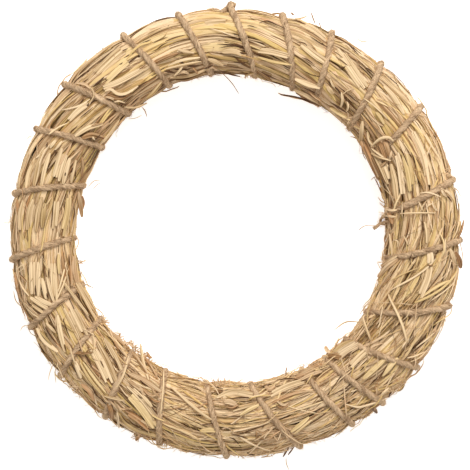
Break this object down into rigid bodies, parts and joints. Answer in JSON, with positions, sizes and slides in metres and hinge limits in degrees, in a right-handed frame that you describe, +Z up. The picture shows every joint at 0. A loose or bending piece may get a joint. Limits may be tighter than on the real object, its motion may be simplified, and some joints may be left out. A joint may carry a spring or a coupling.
{
  "type": "straw wreath",
  "caption": "Ring-shaped roll of packed straw bound with one spiral of jute twine knotted at the hole; lies flat, or hangs as a base for decoration.",
  "frame": {"origin": "middle of the ring, on the surface that it lies on", "axes": "+Z up, out of the wreath's front; +X to the side where the twine is knotted; +Y to the picture's top"},
  "size_m": [0.3013, 0.3042, 0.0522],
  "materials": {
    "straw": "dry straw, matt with a faint gloss on the blades",
    "jute": "twisted natural jute, matt and hairy"
  },
  "bodies": {
    "root": {"straw_ring": "straw", "jute_twine": "jute", "loose_stalk_1": "straw", "loose_stalk_2": "straw", "loose_stalk_3": "straw", "loose_stalk_4": "straw", "loose_stalk_5": "straw", "loose_stalk_6": "straw", "loose_stalk_7": "straw"}
  },
  "joints": []
}
